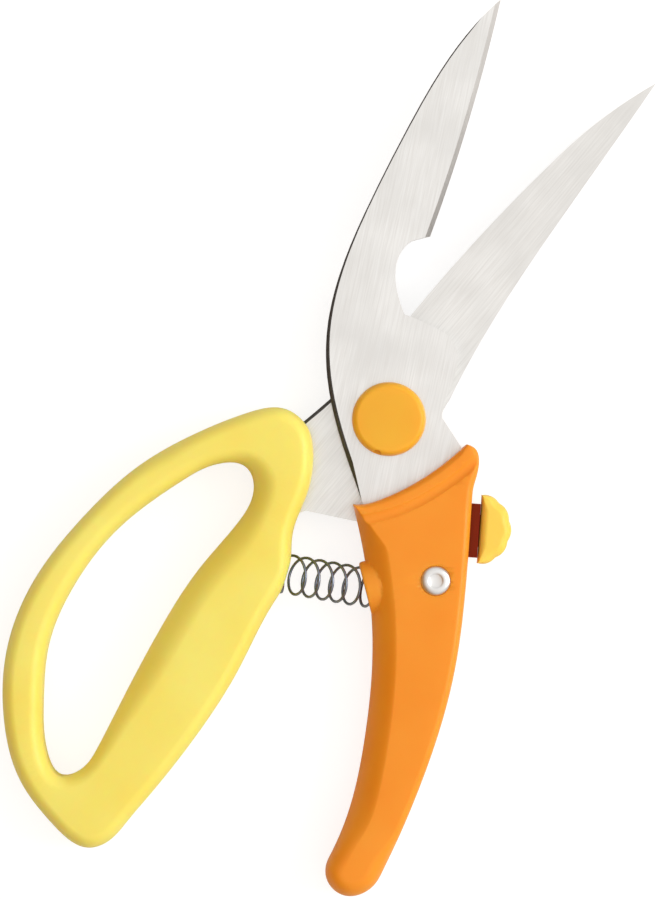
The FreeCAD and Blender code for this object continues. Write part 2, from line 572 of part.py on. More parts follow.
def make_lock():
    """The sliding lock: plate, carrier, pins and thumb pad, the rivet that guides it, and the
    leaf that holds it at either end. The pieces are drawn in the lock's axes at the rivet."""
    travel = size("lock_travel")
    half_slot = size("plate_slot") / 2
    detent = -2.5
    notch_edge = -9.0
    notches = []
    for along in (detent - travel, detent):
        notches.append([(notch_edge, along - 1.4)])
        notches.append([(notch_edge + 1.2, along), (notch_edge, along + 1.4)])
    plate = new_body("lock_plate")
    outline = [
        [(notch_edge, -8.9)],
        *notches,
        [(notch_edge, 3.0)],
        [(-10.0, 4.2)],
        [(-10.0, 12.9)],
        [(-7.0, 12.9)],
        [(-7.0, 8.0)],
        [(1.4, 8.0)],
        [(1.4, 21.0)],
        [(6.0, 21.0)],
        [(6.0, -8.9)],
    ]
    slot = [
        [(half_slot, 0.0)],
        [(0.0, half_slot), (-half_slot, 0.0)],
        [(-half_slot, -travel)],
        [(0.0, -travel - half_slot), (half_slot, -travel)],
    ]
    pins = [(3.7, 11.0), (3.7, 18.0)]
    pin_rounds = [Round(x, y, "Sizes.pin_diameter") for x, y in pins]
    layer(plate, "Pad", "blank", "Sizes.plate_bottom", "Sizes.plate_thickness", outline, slot)
    layer(plate, "Pocket", "pin_holes", "Sizes.plate_bottom", "Sizes.plate_thickness",
          *pin_rounds)

    pin_bodies = []
    for number, pin_round in enumerate(pin_rounds, start=1):
        pin = new_body(f"lock_carrier_pin_{number}")
        layer(pin, "Pad", "pin", "Sizes.carrier_bottom", "Sizes.carrier_height", pin_round)
        pin_bodies.append(pin)

    block = new_body("lock_carrier_block")
    layer(block, "Pad", "neck", "Sizes.carrier_bottom", "Sizes.carrier_height",
          box_path(1.1, 11.0, 7.0, 21.8))
    layer(block, "Pad", "root", "Sizes.carrier_bottom + 2.2", "Sizes.carrier_height - 4.4",
          box_path(10.5, 14.0, 10.0, 18.8))
    layer(block, "Pocket", "pin_holes", "Sizes.carrier_bottom", "Sizes.carrier_height",
          *pin_rounds)
    for piece in (plate, block, *pin_bodies):
        place_lock_piece(piece)

    carrier = doc.addObject("Part::Cut", "lock_carrier")
    carrier.Base = block
    carrier.Tool = plate

    moulding = new_body("lock_thumb_pad_moulding")
    back, middle, depth, half_length, lobes = 11.0, 14.9, 8.7, 9.5, 5

    def rim(share, swell):
        turn = math.radians(-90 + 180 * share)
        return (back + depth * swell * math.cos(turn), middle + half_length * swell * math.sin(turn))

    scallops = [[rim((lobe + 0.5) / lobes, 1.05), rim((lobe + 1) / lobes, 1.0)]
                for lobe in range(lobes)]
    layer(moulding, "Pad", "blank", "Sizes.pad_bottom", "Sizes.pad_height",
          [*scallops, [(back, middle - half_length)]])
    place_lock_piece(moulding)
    pad = doc.addObject("Part::Cut", "lock_thumb_pad")
    pad.Base = moulding
    pad.Tool = carrier

    pin_set = doc.addObject("Part::Compound", "lock_carrier_pins")
    pin_set.Links = pin_bodies

    leaf = new_body("lock_detent_leaf")
    layer(leaf, "Pad", "strip", "Sizes.plate_bottom", "Sizes.plate_thickness", [
        [(-11.0, -9.1)],
        [(-10.0, -7.6)],
        [(-10.0, -3.6)],
        [(-8.6, -2.5), (-10.0, -1.4)],
        [(-10.0, 2.5)],
        [(-11.0, 4.0)],
        [(-11.4, 4.0)],
        [(-10.4, 2.3)],
        [(-10.4, -1.4)],
        [(-9.2, -2.5), (-10.4, -3.6)],
        [(-10.4, -7.4)],
        [(-11.4, -9.1)],
    ])
    place_lock_piece(leaf)

    rivet = new_body("lock_rivet")
    head_base = size("grip_height") - size("rivet_sink")
    head_top = size("grip_height") + size("rivet_proud")
    head = size("rivet_head") / 2
    shank = size("rivet_shank") / 2
    tail = size("rivet_tail") / 2
    tail_height = 0.6
    tail_top = size("rivet_seat") - size("rivet_washer_height")
    turned(rivet, "Revolution", "profile", [
        [(0.0, tail_top - tail_height)],
        [(tail, tail_top - tail_height)],
        [(tail, tail_top)],
        [(shank, tail_top)],
        [(shank, head_base)],
        [(head, head_base)],
        [(head, head_base + 0.5)],
        [(head * 0.8, head_top - 0.2), (head * 0.45, head_top)],
        [(0.0, head_top)],
    ])
    rivet.Placement.Base = RIVET
    washer = new_body("lock_rivet_washer")
    layer(washer, "Pad", "ring", "Sizes.rivet_seat - Sizes.rivet_washer_height",
          "Sizes.rivet_washer_height", Round(RIVET.x, RIVET.y, "Sizes.rivet_head"),
          Round(RIVET.x, RIVET.y, "Sizes.rivet_shank"))
    return [plate, carrier, pin_set, pad, leaf, rivet, washer]


def make_return_spring():
    """The space that the coiled return spring fills: a tube from socket to socket, straight
    from the loop grip and then bent gently into the straight grip's socket."""
    height = size("parting")
    start = LOOP_SEAT - Vector(LOOP_SEAT_DEPTH - 0.15, 0, 0)
    heading = Rotation(Vector(0, 0, 1), GRIP_SEAT_HEADING).multVec(Vector(1, 0, 0))
    end = GRIP_SEAT + heading * (GRIP_SEAT_DEPTH - 0.3)
    meet = LOOP_SEAT + Vector((GRIP_SEAT.x - LOOP_SEAT.x)
                              + (LOOP_SEAT.y - GRIP_SEAT.y) * heading.x / heading.y, 0, 0)
    tangent = (end - meet).Length
    bend_start = meet - Vector(tangent, 0, 0)
    radius = tangent / math.tan(math.radians(GRIP_SEAT_HEADING / 2))
    centre = bend_start + Vector(0, radius, 0)
    halfway = Rotation(Vector(0, 0, 1), GRIP_SEAT_HEADING / 2).multVec(Vector(0, -radius, 0))

    body = new_body("return_spring")
    path = new_sketch(body, "return_spring_path", "XY_Plane", "Sizes.parting")
    path.addGeometry(Part.LineSegment(start, bend_start), False)
    path.addGeometry(Part.Arc(bend_start, centre + halfway, end), False)
    profile = body.newObject("Sketcher::SketchObject", "return_spring_profile")
    plane = next(plane for plane in body.Origin.OriginFeatures if plane.Role == "YZ_Plane")
    profile.AttachmentSupport = (plane, [""])
    profile.MapMode = "FlatFace"
    profile.AttachmentOffset = Placement(Vector(0, 0, start.x), Rotation())
    draw(profile, Round(start.y, height, "Sizes.spring_outside"))
    draw(profile, Round(start.y, height, "Sizes.spring_outside - 2 * Sizes.spring_wire"))
    pipe = body.newObject("PartDesign::AdditivePipe", "return_spring_tube")
    pipe.Profile = profile
    pipe.Spine = path
    rebuild()
    outside = size("spring_outside") / 2
    inside = outside - size("spring_wire")
    length = (bend_start - start).Length + radius * math.radians(GRIP_SEAT_HEADING)
    ring = math.pi * (outside ** 2 - inside ** 2)
    if abs(body.Shape.Volume / (ring * length) - 1) > 0.02:
        raise ValueError("the return spring's tube has the wrong volume")
    return body


def export(nodes):
    """Check each sub-part and write it to its own file."""
    os.makedirs("parts", exist_ok=True)
    for node in nodes:
        if node.Shape.isNull() or not node.Shape.isValid():
            raise ValueError(f"{node.Label} has no valid shape")
    for node in nodes:
        node.Shape.exportStep(f"parts/{node.Label}.step")
        box = node.Shape.BoundBox
        print(f"{node.Label:28} solids {len(node.Shape.Solids)}  {node.Shape.Volume:9.1f} mm3  "
              f"x {box.XMin:7.2f} {box.XMax:7.2f}  y {box.YMin:7.2f} {box.YMax:7.2f}  "
              f"z {box.ZMin:6.2f} {box.ZMax:6.2f}")


rear_blade = make_rear_blade()
nodes = [make_front_blade(), rear_blade]
nodes += make_pivot()
nodes += make_straight_grip()
nodes += make_lock()
nodes += [make_loop_grip(rear_blade), make_return_spring()]
rebuild()
export(nodes)
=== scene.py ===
import math

import bmesh
import bpy
from mathutils import Matrix, Vector


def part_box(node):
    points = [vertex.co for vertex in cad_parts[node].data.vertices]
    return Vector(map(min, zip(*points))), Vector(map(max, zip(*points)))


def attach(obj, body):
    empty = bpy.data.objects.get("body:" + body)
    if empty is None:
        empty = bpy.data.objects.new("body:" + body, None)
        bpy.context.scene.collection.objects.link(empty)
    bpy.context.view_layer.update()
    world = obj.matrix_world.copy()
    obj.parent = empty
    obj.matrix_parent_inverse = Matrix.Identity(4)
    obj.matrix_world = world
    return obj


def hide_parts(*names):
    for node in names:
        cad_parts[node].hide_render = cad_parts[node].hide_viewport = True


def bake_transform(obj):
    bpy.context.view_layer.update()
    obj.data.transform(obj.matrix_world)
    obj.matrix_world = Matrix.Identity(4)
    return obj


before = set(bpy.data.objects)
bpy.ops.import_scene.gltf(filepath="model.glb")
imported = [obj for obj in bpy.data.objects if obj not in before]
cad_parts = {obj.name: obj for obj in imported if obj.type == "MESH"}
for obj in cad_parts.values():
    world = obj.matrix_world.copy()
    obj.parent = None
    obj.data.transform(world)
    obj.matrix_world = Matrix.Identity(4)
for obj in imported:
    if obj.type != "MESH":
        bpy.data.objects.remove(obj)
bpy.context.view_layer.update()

MM = 0.001


# ---- Table, light and camera ----
# The shears lie open on a plain white table, under a soft lamp at the right and a pale ceiling
# that turns dim and amber to the left. A long lens looks straight down on them, turned a little.
VIEW_TURN = math.radians(10)
VIEW_CENTRE = Vector((-14.5, -11.2, 12.0)) * MM
VIEW_DISTANCE = 1.5
VIEW_HEIGHT = 247.9 * MM
SENSOR = 36.0

camera = bpy.data.objects.new("camera", bpy.data.cameras.new("camera"))
bpy.context.scene.collection.objects.link(camera)
camera.location = VIEW_CENTRE + Vector((0, 0, VIEW_DISTANCE))
camera.rotation_euler = (0, 0, VIEW_TURN)
camera.data.sensor_width = SENSOR
camera.data.lens = SENSOR * VIEW_DISTANCE / VIEW_HEIGHT
camera.data.clip_start = 0.05
camera.data.clip_end = 20
bpy.context.scene.camera = camera
bpy.context.scene.view_settings.view_transform = "Standard"


def add_node(tree, kind, inputs=None, **settings):
    """A node with its settings; an input takes a value, or the socket that feeds it."""
    new = tree.nodes.new(kind)
    for name, value in settings.items():
        setattr(new, name, value)
    for key, value in (inputs or {}).items():
        if isinstance(value, bpy.types.NodeSocket):
            tree.links.new(value, new.inputs[key])
        else:
            new.inputs[key].default_value = value
    return new


def add_lamp(name, place, aim, width, height, power, colour):
    lamp = bpy.data.objects.new(name, bpy.data.lights.new(name, "AREA"))
    bpy.context.scene.collection.objects.link(lamp)
    lamp.location = place
    lamp.rotation_euler = (Vector(aim) - Vector(place)).to_track_quat("-Z", "Y").to_euler()
    lamp.data.shape = "RECTANGLE"
    lamp.data.size = width
    lamp.data.size_y = height
    lamp.data.energy = power
    lamp.data.color = colour


add_lamp("right_lamp", (1.1, 0.25, 0.75), (0, -0.02, 0), 0.7, 0.9, 9.6, (1.0, 0.985, 0.96))

world = bpy.data.worlds.new("studio")
bpy.context.scene.world = world
world.use_nodes = True
sky = world.node_tree
sky.nodes.clear()
direction = add_node(sky, "ShaderNodeTexCoord").outputs["Generated"]
axes = add_node(sky, "ShaderNodeSeparateXYZ", {0: direction})
rightwards = add_node(sky, "ShaderNodeMath", {
    0: axes.outputs["Y"], 1: 0.6, 2: axes.outputs["X"],
}, operation="MULTIPLY_ADD")
from_left = add_node(sky, "ShaderNodeMapRange", {
    "Value": rightwards.outputs[0], "From Min": -0.95, "From Max": -0.15,
}, interpolation_type="SMOOTHSTEP")
tint = add_node(sky, "ShaderNodeMix", {
    0: from_left.outputs["Result"], 6: (0.48, 0.225, 0.05, 1), 7: (1.0, 0.99, 0.975, 1),
}, data_type="RGBA")
overhead = add_node(sky, "ShaderNodeMapRange", {
    "Value": axes.outputs["Z"], "From Min": 0.0, "From Max": 0.9, "To Min": 0.35, "To Max": 0.98,
}, interpolation_type="SMOOTHSTEP")
ceiling = add_node(sky, "ShaderNodeBackground",
                   {"Color": tint.outputs[2], "Strength": overhead.outputs["Result"]})
backdrop = add_node(sky, "ShaderNodeBackground", {"Color": (0.93, 0.93, 0.93, 1), "Strength": 1.0})
seen = add_node(sky, "ShaderNodeLightPath").outputs["Is Camera Ray"]
studio = add_node(sky, "ShaderNodeMixShader",
                  {0: seen, 1: ceiling.outputs[0], 2: backdrop.outputs[0]})
add_node(sky, "ShaderNodeOutputWorld", {"Surface": studio.outputs[0]})


def new_piece(name, shape):
    """A piece made from a finished bmesh."""
    mesh = bpy.data.meshes.new(name)
    shape.to_mesh(mesh)
    shape.free()
    piece = bpy.data.objects.new(name, mesh)
    bpy.context.scene.collection.objects.link(piece)
    return piece


table_shape = bmesh.new()
bmesh.ops.create_circle(table_shape, cap_ends=True, segments=96, radius=3.0)
bmesh.ops.translate(table_shape, verts=table_shape.verts, vec=(0, 0, -0.2 * MM))
table_top = new_piece("table_top", table_shape)
table_paint = bpy.data.materials.new("table_paint")
table_paint.use_nodes = True
tree = table_paint.node_tree
tree.nodes.clear()
painted = add_node(tree, "ShaderNodeBsdfDiffuse", {"Color": (0.35, 0.35, 0.35, 1)})
glow = add_node(tree, "ShaderNodeEmission", {"Color": (1, 1, 1, 1), "Strength": 0.8})
surface = add_node(tree, "ShaderNodeAddShader", {0: painted.outputs[0], 1: glow.outputs[0]})
dim = add_node(tree, "ShaderNodeBsdfDiffuse", {"Color": (0.75, 0.75, 0.75, 1)})
seen = add_node(tree, "ShaderNodeLightPath").outputs["Is Camera Ray"]
mixed = add_node(tree, "ShaderNodeMixShader", {0: seen, 1: dim.outputs[0], 2: surface.outputs[0]})
below = add_node(tree, "ShaderNodeNewGeometry").outputs["Backfacing"]
clear = add_node(tree, "ShaderNodeBsdfTransparent")
open_below = add_node(tree, "ShaderNodeMixShader",
                      {0: below, 1: mixed.outputs[0], 2: clear.outputs[0]})
add_node(tree, "ShaderNodeOutputMaterial", {"Surface": open_below.outputs[0]})
table_top.data.materials.append(table_paint)


# ---- Blades ----
# Two blades stamped from 3 mm stainless plate, ground lengthwise and bevelled to their cutting
# edges. The long outer edge of each is eased by hand, where the plate would bite the palm.
def merged_copy(node):
    """The mesh of a CAD node with its loose triangles joined."""
    shape = bmesh.new()
    shape.from_mesh(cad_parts[node].data)
    bmesh.ops.remove_doubles(shape, verts=shape.verts, dist=1e-6)
    return shape


def settle(piece):
    """Replace a piece's mesh by the one that its modifiers make."""
    graph = bpy.context.evaluated_depsgraph_get()
    mesh = bpy.data.meshes.new_from_object(piece.evaluated_get(graph))
    piece.modifiers.clear()
    old = piece.data
    piece.data = mesh
    bpy.data.meshes.remove(old)
    mesh.name = piece.name
    return piece


def smooth_by_angle(piece, degrees):
    piece.data.shade_smooth()
    piece.data.set_sharp_from_angle(angle=math.radians(degrees))
    weighted = piece.modifiers.new("even_shading", "WEIGHTED_NORMAL")
    weighted.keep_sharp = True


def fit(piece, body, slot, material, *nodes):
    """Give a piece its finish and its body, and let it stand for its CAD nodes."""
    if piece.data.materials:
        piece.data.materials[0] = material
    else:
        piece.data.materials.append(material)
    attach(piece, body)
    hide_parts(*nodes)


def refinish(material, *nodes):
    for node in nodes:
        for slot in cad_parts[node].material_slots:
            slot.material = material


def mix(low, high, share):
    return low + (high - low) * share


def ramp(value, low, high):
    """Smooth step from 0 at low to 1 at high."""
    share = min(max((value - low) / (high - low), 0.0), 1.0)
    return share * share * (3 - 2 * share)


def new_material(name):
    """An empty material; the next lines build its nodes round the shader."""
    material = bpy.data.materials.new(name)
    material.use_nodes = True
    nodes = material.node_tree
    nodes.nodes.clear()
    shader = add_node(nodes, "ShaderNodeBsdfPrincipled")
    add_node(nodes, "ShaderNodeOutputMaterial", {"Surface": shader.outputs[0]})
    return material, nodes, shader


def add_bump(nodes, shader, height, strength, distance):
    bump = add_node(nodes, "ShaderNodeBump",
                    {"Height": height, "Strength": strength, "Distance": distance})
    nodes.links.new(bump.outputs["Normal"], shader.inputs["Normal"])


# Painted shade: the eased edges are coloured near-black to stand for the shade and dark reflection
# along the spine, with a flaky random tone and gloss.
painted_shade_steel, nodes, shader = new_material("spine_painted_shade")
shader.inputs["Metallic"].default_value = 0.6
place = add_node(nodes, "ShaderNodeTexCoord").outputs["Object"]
flake = add_node(nodes, "ShaderNodeTexNoise", {"Vector": place, "Scale": 900.0, "Detail": 4.0})
shade = add_node(nodes, "ShaderNodeMix", {
    0: flake.outputs["Fac"], 6: (0.035, 0.033, 0.03, 1), 7: (0.11, 0.105, 0.10, 1),
}, data_type="RGBA")
gloss = add_node(nodes, "ShaderNodeMapRange", {
    "Value": flake.outputs["Fac"], "From Min": 0.3, "From Max": 0.7,
    "To Min": 0.42, "To Max": 0.6,
})
nodes.links.new(shade.outputs[2], shader.inputs["Base Color"])
nodes.links.new(gloss.outputs["Result"], shader.inputs["Roughness"])
add_bump(nodes, shader, flake.outputs["Fac"], 0.3, 0.03 * MM)


def eased_blade(node, name, ease_at):
    """A blade with its outer edges eased; ease_at gives the width for an edge's middle."""
    shape = merged_copy(node)
    bmesh.ops.dissolve_limit(shape, angle_limit=math.radians(0.5), verts=shape.verts,
                             edges=shape.edges)
    weight = shape.edges.layers.float.new("bevel_weight_edge")  # the ease's width in mm
    for edge in shape.edges:
        if len(edge.link_faces) != 2:
            continue
        face, side = sorted(edge.link_faces, key=lambda face: -abs(face.normal.z))
        if abs(face.normal.z) > 0.99 and abs(side.normal.z) < 0.1:
            middle = (edge.verts[0].co + edge.verts[1].co) / 2
            edge[weight] = ease_at(middle / MM, side.normal, face.normal.z > 0)
    blade = new_piece(name, shape)
    blade.data.materials.append(None)
    blade.data.materials.append(painted_shade_steel)
    ease = blade.modifiers.new("eased_edges", "BEVEL")
    ease.limit_method = "WEIGHT"
    ease.offset_type = "OFFSET"
    ease.width = 1.0 * MM
    ease.segments = 3
    # The eased faces take the near-black painted-shade material.
    ease.material = 1
    ease.use_clamp_overlap = False
    settle(blade)
    smooth_by_angle(blade, 28)
    return blade


GRIP_MOUTH = -24   # along Y, where the grips take over from the bare steel
BACK_EASE = 0.3


def front_ease(middle, normal, on_front):
    """The spine is eased from the grip to near the tip, and less and less towards it."""
    if normal.x > -0.3 or middle.y < GRIP_MOUTH or middle.y > 112:
        return 0.0
    return mix(1.2, 0.35, ramp(middle.y, -5, 60)) if on_front else BACK_EASE


def rear_ease(middle, normal, on_front):
    """Only the heel, which shows between the grips, is eased."""
    if normal.x > -0.3 or not GRIP_MOUTH < middle.y < 13:
        return 0.0
    return 0.9 if on_front else BACK_EASE


front_blade = eased_blade("front_blade", "front_blade_ground", front_ease)
rear_blade = eased_blade("rear_blade", "rear_blade_ground", rear_ease)

# Marks left by the grinding belt: long fine streaks, with a few deeper scratches among them.
grind = bpy.data.node_groups.new("grinding_marks", "ShaderNodeTree")
grind.interface.new_socket("Along Blade", in_out="INPUT", socket_type="NodeSocketVector")
grind.interface.new_socket("Bright", in_out="INPUT", socket_type="NodeSocketColor")
grind.interface.new_socket("Dull", in_out="INPUT", socket_type="NodeSocketColor")
grind.interface.new_socket("Colour", in_out="OUTPUT", socket_type="NodeSocketColor")
grind.interface.new_socket("Roughness", in_out="OUTPUT", socket_type="NodeSocketFloat")
grind.interface.new_socket("Height", in_out="OUTPUT", socket_type="NodeSocketFloat")
given = add_node(grind, "NodeGroupInput")
streak_space = add_node(grind, "ShaderNodeVectorMath",
                        {0: given.outputs["Along Blade"], 1: (90.0, 2600.0, 300.0)},
                        operation="MULTIPLY")
streaks = add_node(grind, "ShaderNodeTexNoise",
                   {"Vector": streak_space.outputs[0], "Scale": 1.0, "Detail": 3.0})
cloud = add_node(grind, "ShaderNodeTexNoise",
                 {"Vector": given.outputs["Along Blade"], "Scale": 70.0, "Detail": 2.0})
blotch = add_node(grind, "ShaderNodeMath",
                  {0: streaks.outputs["Fac"], 1: cloud.outputs["Fac"]}, operation="MULTIPLY")
tone = add_node(grind, "ShaderNodeMapRange",
                {"Value": blotch.outputs[0], "From Min": 0.12, "From Max": 0.42})
colour = add_node(grind, "ShaderNodeMix",
                  {0: tone.outputs["Result"], 6: given.outputs["Dull"], 7: given.outputs["Bright"]},
                  data_type="RGBA")
gloss = add_node(grind, "ShaderNodeMapRange", {
    "Value": streaks.outputs["Fac"], "From Min": 0.3, "From Max": 0.7,
    "To Min": 0.42, "To Max": 0.30,
})
made = add_node(grind, "NodeGroupOutput")
grind.links.new(colour.outputs[2], made.inputs["Colour"])
grind.links.new(gloss.outputs["Result"], made.inputs["Roughness"])
grind.links.new(streaks.outputs["Fac"], made.inputs["Height"])


def ground_steel(name, turn, bright, dull):
    """Stainless steel with grinding marks that run at this many degrees from +X."""
    material, nodes, shader = new_material(name)
    shader.inputs["Metallic"].default_value = 1.0
    place = add_node(nodes, "ShaderNodeTexCoord").outputs["Object"]
    along = add_node(nodes, "ShaderNodeMapping",
                     {"Vector": place, "Rotation": (0, 0, -math.radians(turn))})
    marks = add_node(nodes, "ShaderNodeGroup", node_tree=grind)
    nodes.links.new(along.outputs[0], marks.inputs["Along Blade"])
    marks.inputs["Bright"].default_value = (*bright, 1)
    marks.inputs["Dull"].default_value = (*dull, 1)
    nodes.links.new(marks.outputs["Colour"], shader.inputs["Base Color"])
    nodes.links.new(marks.outputs["Roughness"], shader.inputs["Roughness"])
    add_bump(nodes, shader, marks.outputs["Height"], 0.25, 0.02 * MM)
    return material


front_steel = ground_steel("front_blade_steel", 88, (0.90, 0.892, 0.875), (0.78, 0.772, 0.755))
rear_steel = ground_steel("rear_blade_steel", 60, (0.88, 0.87, 0.85), (0.75, 0.74, 0.72))
fit(front_blade, "straight_half", "blade_steel", front_steel, "front_blade")
fit(rear_blade, "loop_half", "blade_steel", rear_steel, "rear_blade")


# ---- Pivot ----
# A shouldered bolt carries both blades, with a nylon slip washer between them, a disc spring
# and a nut at the back. A moulded cap snaps over each end.
def turned_steel(name, colour, low, high):
    """Machined or drawn steel, with fine rings or draw lines in its gloss."""
    material, nodes, shader = new_material(name)
    shader.inputs["Metallic"].default_value = 1.0
    place = add_node(nodes, "ShaderNodeTexCoord").outputs["Object"]
    fine = add_node(nodes, "ShaderNodeTexNoise",
                    {"Vector": place, "Scale": 1800.0, "Detail": 3.0})
    broad = add_node(nodes, "ShaderNodeTexNoise", {"Vector": place, "Scale": 160.0})
    gloss = add_node(nodes, "ShaderNodeMapRange", {
        "Value": fine.outputs["Fac"], "From Min": 0.3, "From Max": 0.7,
        "To Min": low, "To Max": high,
    })
    shade = add_node(nodes, "ShaderNodeMix", {
        0: broad.outputs["Fac"], 6: (*[part * 0.82 for part in colour], 1), 7: (*colour, 1),
    }, data_type="RGBA")
    nodes.links.new(shade.outputs[2], shader.inputs["Base Color"])
    nodes.links.new(gloss.outputs["Result"], shader.inputs["Roughness"])
    add_bump(nodes, shader, fine.outputs["Fac"], 0.2, 0.02 * MM)
    return material


plated_steel = turned_steel("plated_steel", (0.72, 0.71, 0.70), 0.22, 0.36)
spring_steel = turned_steel("spring_steel", (0.27, 0.31, 0.38), 0.25, 0.42)
refinish(plated_steel, "pivot_bolt", "pivot_nut", "grip_screws", "lock_carrier_pins")
refinish(spring_steel, "pivot_disc_spring", "lock_detent_leaf")
lock_steel = ground_steel("lock_plate_steel", 96, (0.74, 0.73, 0.72), (0.60, 0.59, 0.58))
refinish(lock_steel, "lock_plate")

# The skin of a moulding: a fine spark-eroded texture, and slow changes of shade where the
# plastic flowed.
skin = bpy.data.node_groups.new("moulded_skin", "ShaderNodeTree")
skin.interface.new_socket("Place", in_out="INPUT", socket_type="NodeSocketVector")
skin.interface.new_socket("Body Colour", in_out="INPUT", socket_type="NodeSocketColor")
skin.interface.new_socket("Deep Colour", in_out="INPUT", socket_type="NodeSocketColor")
skin.interface.new_socket("Colour", in_out="OUTPUT", socket_type="NodeSocketColor")
skin.interface.new_socket("Roughness", in_out="OUTPUT", socket_type="NodeSocketFloat")
skin.interface.new_socket("Height", in_out="OUTPUT", socket_type="NodeSocketFloat")
given = add_node(skin, "NodeGroupInput")
flow = add_node(skin, "ShaderNodeTexNoise",
                {"Vector": given.outputs["Place"], "Scale": 38.0, "Detail": 2.0})
spark = add_node(skin, "ShaderNodeTexNoise",
                 {"Vector": given.outputs["Place"], "Scale": 2300.0, "Detail": 2.0})
rub = add_node(skin, "ShaderNodeTexNoise",
               {"Vector": given.outputs["Place"], "Scale": 150.0, "Detail": 4.0})
depth = add_node(skin, "ShaderNodeMapRange",
                 {"Value": flow.outputs["Fac"], "From Min": 0.3, "From Max": 0.7})
colour = add_node(skin, "ShaderNodeMix", {
    0: depth.outputs["Result"], 6: given.outputs["Body Colour"], 7: given.outputs["Deep Colour"],
}, data_type="RGBA")
gloss = add_node(skin, "ShaderNodeMapRange", {
    "Value": rub.outputs["Fac"], "From Min": 0.3, "From Max": 0.7,
    "To Min": 0.34, "To Max": 0.46,
})
made = add_node(skin, "NodeGroupOutput")
skin.links.new(colour.outputs[2], made.inputs["Colour"])
skin.links.new(gloss.outputs["Result"], made.inputs["Roughness"])
skin.links.new(spark.outputs["Fac"], made.inputs["Height"])


def moulded_plastic(name, body_colour, deep_colour, seam=None, shine=0.3, glow_through=0.35):
    """Moulded plastic; a seam is the height of the line where two mouldings or tools meet."""
    material, nodes, shader = new_material(name)
    shader.inputs["Specular IOR Level"].default_value = shine
    shader.inputs["Subsurface Weight"].default_value = glow_through
    shader.inputs["Subsurface Radius"].default_value = (1.0, 0.4, 0.12)
    shader.inputs["Subsurface Scale"].default_value = 3.5 * MM
    place = add_node(nodes, "ShaderNodeTexCoord").outputs["Object"]
    surface = add_node(nodes, "ShaderNodeGroup", node_tree=skin)
    nodes.links.new(place, surface.inputs["Place"])
    surface.inputs["Body Colour"].default_value = (*body_colour, 1)
    surface.inputs["Deep Colour"].default_value = (*deep_colour, 1)
    colour = surface.outputs["Colour"]
    if seam is not None:
        height = add_node(nodes, "ShaderNodeSeparateXYZ", {0: place}).outputs["Z"]
        on_seam = add_node(nodes, "ShaderNodeMath", {0: height, 1: seam, 2: 0.12 * MM},
                           operation="COMPARE")
        dark = (*[part * 0.35 for part in deep_colour], 1)
        lined = add_node(nodes, "ShaderNodeMix",
                         {0: on_seam.outputs[0], 6: colour, 7: dark}, data_type="RGBA")
        colour = lined.outputs[2]
    nodes.links.new(colour, shader.inputs["Base Color"])
    nodes.links.new(surface.outputs["Roughness"], shader.inputs["Roughness"])
    add_bump(nodes, shader, surface.outputs["Height"], 0.12, 0.03 * MM)
    return material


cap_plastic = moulded_plastic("amber_plastic", (1.0, 0.50, 0.035), (0.98, 0.43, 0.025))


def spun(profile, place, heading, segments=64):
    """A turned shape: a profile of (along, radius) points in mm, spun round its heading."""
    shape = bmesh.new()
    verts = [shape.verts.new(Vector((radius, 0, along)) * MM) for along, radius in profile]
    edges = [shape.edges.new(pair) for pair in zip(verts, verts[1:])]
    bmesh.ops.spin(shape, geom=[*verts, *edges], cent=(0, 0, 0), axis=(0, 0, 1),
                   angle=math.tau, steps=segments, use_merge=True)
    bmesh.ops.remove_doubles(shape, verts=shape.verts, dist=1e-6)
    bmesh.ops.recalc_face_normals(shape, faces=shape.faces)
    turn = Vector((0, 0, 1)).rotation_difference(Vector(heading)).to_matrix().to_4x4()
    bmesh.ops.transform(shape, matrix=Matrix.Translation(place) @ turn, verts=shape.verts)
    return shape


def combined(piece, *steps):
    """Join, cut or intersect a piece with other shapes, which are used up."""
    tools = []
    for operation, shape in steps:
        tool = new_piece("tool", shape)
        tools.append(tool)
        boolean = piece.modifiers.new("boolean", "BOOLEAN")
        boolean.operation = operation
        boolean.solver = "EXACT"
        boolean.object = tool
    settle(piece)
    for tool in tools:
        bpy.data.objects.remove(tool)
    return piece


def cap_profile(height, radius, bore, bore_depth, rim=1.7, crown=0.22):
    """A cap's section: an open bore, a rim rounded deeper than wide, a barely domed face."""
    section = [(0.0, bore), (0.0, radius)]
    fall = 1.8 * rim
    for step in range(9):
        turn = math.pi / 2 * step / 8
        section.append((height - crown - fall * (1 - math.sin(turn)),
                        radius - rim * (1 - math.cos(turn))))
    flat = radius - rim
    for share in (0.8, 0.55, 0.28, 0.0):
        section.append((height - crown * share ** 2, flat * share))
    return [*section, (bore_depth, 0.0), (bore_depth, bore), (0.0, bore)]


NOTCH_TURN = math.radians(-99.5)
NOTCH_RADIUS = 1.15
NOTCH_FLOOR = 0.6
front_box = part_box("front_pivot_cap")
CAP_RADIUS = (front_box[1].x - front_box[0].x) / 2 / MM - 0.02
front_low = front_box[0].z / MM
front_cap = new_piece("front_pivot_cap_moulding", spun(
    cap_profile(front_box[1].z / MM - front_low, CAP_RADIUS, 7.05, 2.2),
    (0, 0, front_box[0].z), (0, 0, 1), segments=96))
notch_place = Vector((math.cos(NOTCH_TURN), math.sin(NOTCH_TURN), 0)) * CAP_RADIUS * MM
notch_place.z = front_box[0].z + NOTCH_FLOOR * MM
notch = spun([(0, 0), (0, NOTCH_RADIUS), (6, NOTCH_RADIUS), (6, 0)], notch_place, (0, 0, 1),
             segments=24)
combined(front_cap, ("DIFFERENCE", notch))
back_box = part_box("back_pivot_cap")
back_cap = new_piece("back_pivot_cap_moulding", spun(
    cap_profile(back_box[1].z / MM, CAP_RADIUS, 5.85, 5.05),
    (0, 0, back_box[1].z), (0, 0, -1), segments=96))
